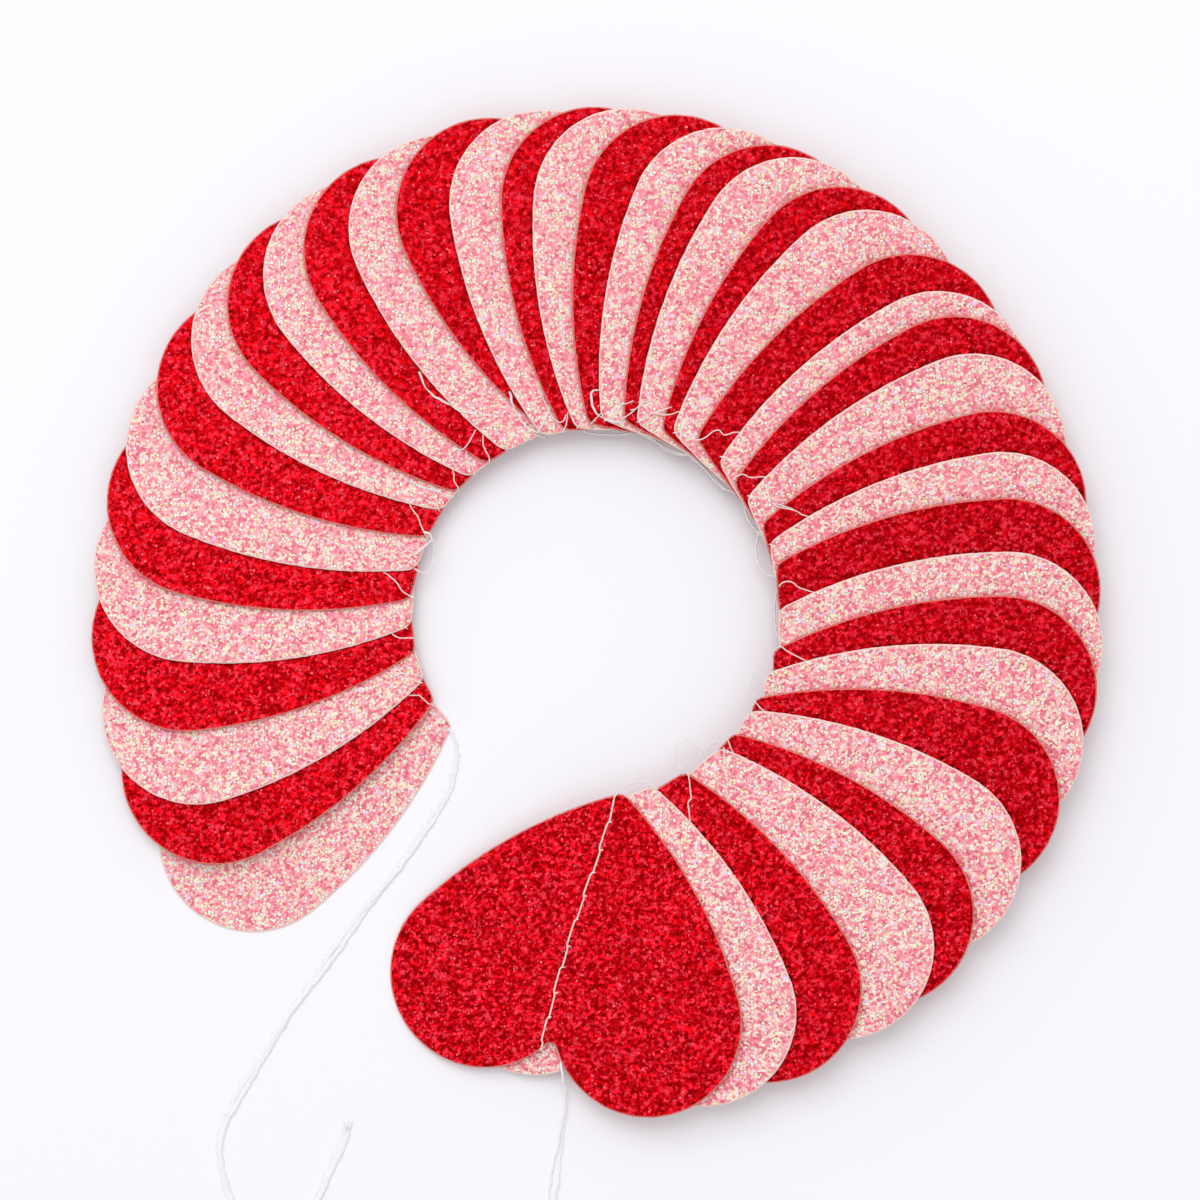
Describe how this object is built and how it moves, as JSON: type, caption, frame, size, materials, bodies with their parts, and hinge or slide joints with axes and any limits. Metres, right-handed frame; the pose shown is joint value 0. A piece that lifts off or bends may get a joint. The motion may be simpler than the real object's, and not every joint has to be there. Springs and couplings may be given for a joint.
{
  "type": "paper heart garland",
  "caption": "Paper garland of punched glitter-card hearts, sewn down their middles on thread and laid flat as an overlapping fan in an open ring.",
  "frame": {"origin": "on the table, under the middle of the hearts' box", "axes": "+Z up off the table; +X to the right and +Y up, as the garland is seen from above with its top heart at the bottom"},
  "size_m": [0.1804, 0.2076, 0.0099],
  "materials": {
    "red_card": "glitter",
    "pink_card": "glitter",
    "thread": "matte"
  },
  "bodies": {
    "root": {"heart_01": "red_card", "heart_02": "pink_card", "heart_03": "red_card", "heart_04": "pink_card", "heart_05": "red_card", "heart_06": "pink_card", "heart_07": "red_card", "heart_08": "pink_card", "heart_09": "red_card", "heart_10": "pink_card", "heart_11": "red_card", "heart_12": "pink_card", "heart_13": "red_card", "heart_14": "pink_card", "heart_15": "red_card", "heart_16": "pink_card", "heart_17": "red_card", "heart_18": "pink_card", "heart_19": "red_card", "heart_20": "pink_card", "heart_21": "red_card", "heart_22": "pink_card", "heart_23": "red_card", "heart_24": "pink_card", "heart_25": "red_card", "heart_26": "pink_card", "heart_27": "red_card", "heart_28": "pink_card", "heart_29": "red_card", "heart_30": "pink_card", "heart_31": "red_card", "heart_32": "pink_card", "heart_33": "red_card", "heart_34": "pink_card", "heart_35": "red_card", "heart_36": "pink_card", "heart_37": "red_card", "heart_38": "pink_card", "heart_39": "red_card", "heart_40": "pink_card", "start_tail": "thread", "start_tail_coil": "thread", "end_tail": "thread"}
  },
  "joints": []
}
